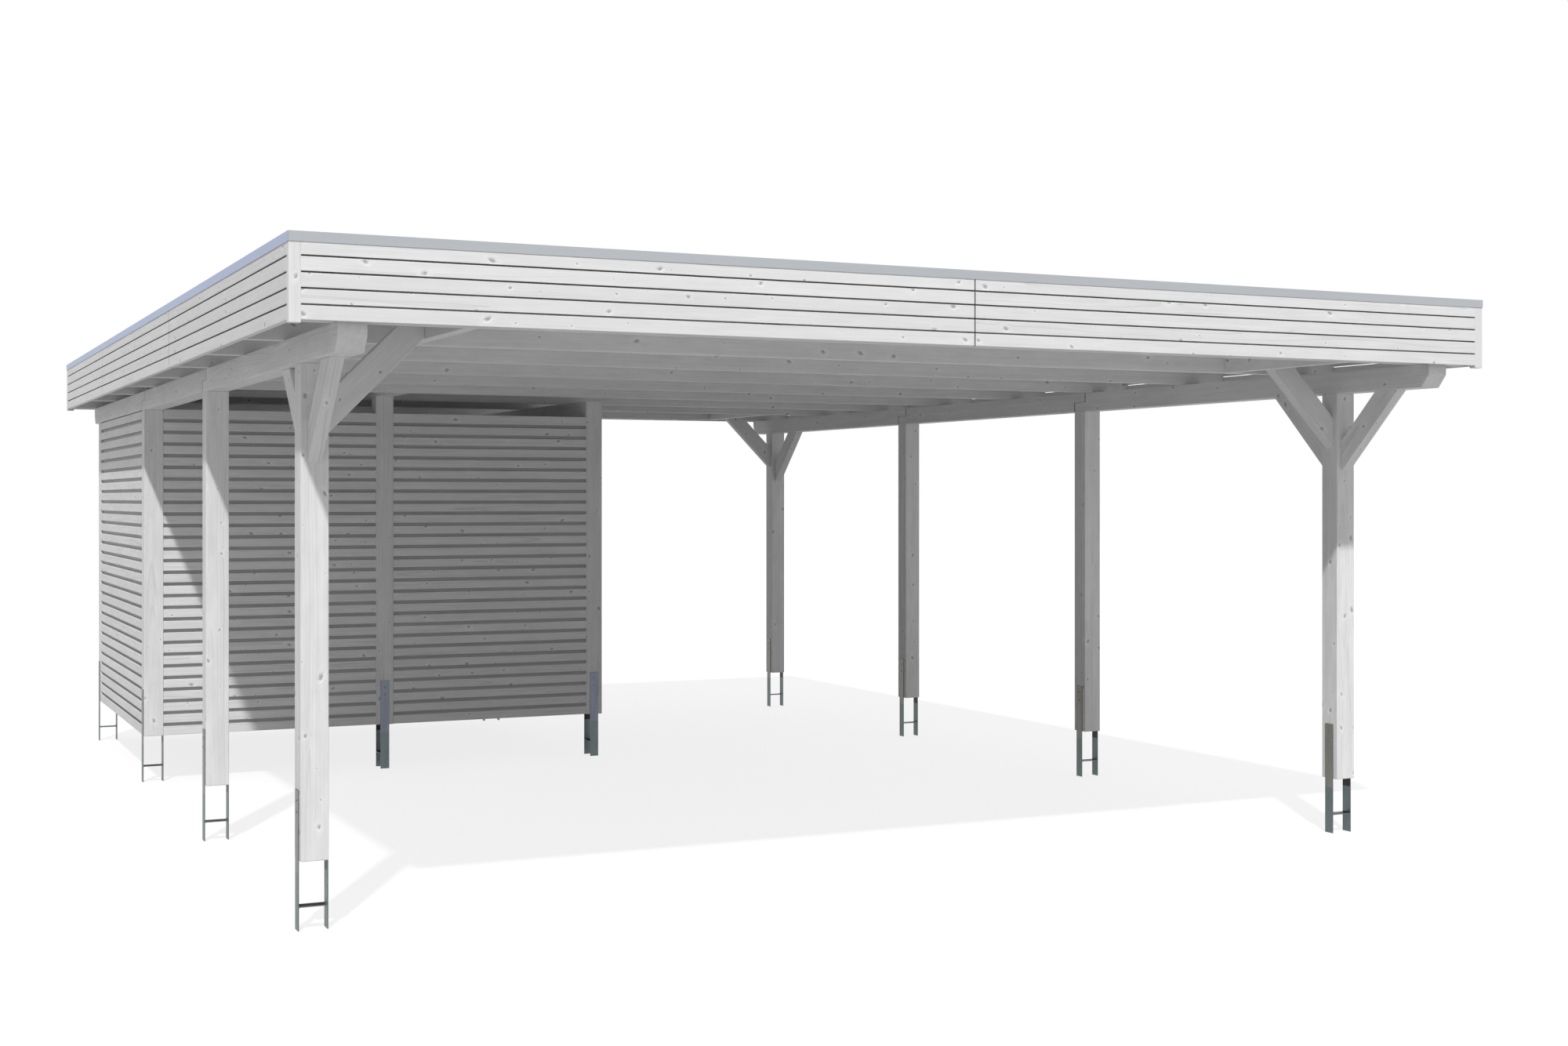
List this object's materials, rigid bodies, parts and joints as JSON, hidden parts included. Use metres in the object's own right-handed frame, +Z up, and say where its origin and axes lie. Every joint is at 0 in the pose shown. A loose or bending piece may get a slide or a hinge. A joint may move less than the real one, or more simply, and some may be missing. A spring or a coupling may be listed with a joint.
{
  "type": "carport",
  "caption": "Flat-roofed timber carport for cars side by side, with a slatted store room in one rear corner and steel post anchors.",
  "frame": {"origin": "middle of the roof's outline in plan, at the level of the lower ends of the post anchors", "axes": "+X to the right as seen from the entrance, +Y towards the back, +Z up"},
  "size_m": [6.189, 8.33, 2.8785],
  "materials": {
    "timber": "white glazed spruce",
    "fascia_boards": "white glazed spruce boards",
    "wall_boards": "white glazed spruce boards",
    "deck_boards": "white glazed spruce boards",
    "galvanised_steel": "hot dip galvanised",
    "edge_metal": "satin grey blue",
    "sheet_rubber": "matt roof sheet",
    "fittings_metal": "brushed"
  },
  "bodies": {
    "root": {"anchors_left": "galvanised_steel", "anchors_right": "galvanised_steel", "anchors_store": "galvanised_steel", "braces_front_left": "timber", "braces_front_right": "timber", "braces_rear_right": "timber", "fascia_battens": "fascia_boards", "fascia_corner_battens": "fascia_boards", "fascia_front": "fascia_boards", "fascia_left": "fascia_boards", "fascia_rear": "fascia_boards", "fascia_right": "fascia_boards", "post_left_1": "timber", "post_left_2": "timber", "post_left_3": "timber", "post_left_4": "timber", "post_right_1": "timber", "post_right_2": "timber", "post_right_3": "timber", "post_right_4": "timber", "purlin_left_front": "timber", "purlin_left_middle": "timber", "purlin_left_rear": "timber", "purlin_right_front": "timber", "purlin_right_middle": "timber", "purlin_right_rear": "timber", "rafters": "timber", "roof_deck": "deck_boards", "roof_sheet": "sheet_rubber", "roof_trim": "edge_metal", "roof_upstands": "deck_boards", "store_door": "wall_boards", "store_door_fittings": "fittings_metal", "store_header_right": "timber", "store_post_front_middle": "timber", "store_post_front_right": "timber", "store_post_rear_middle": "timber", "store_post_rear_right": "timber", "store_wall_front_left": "wall_boards", "store_wall_front_right": "wall_boards", "store_wall_left": "wall_boards", "store_wall_rear_left": "wall_boards", "store_wall_rear_right": "wall_boards", "store_wall_right": "wall_boards", "trimmers": "timber"}
  },
  "joints": []
}
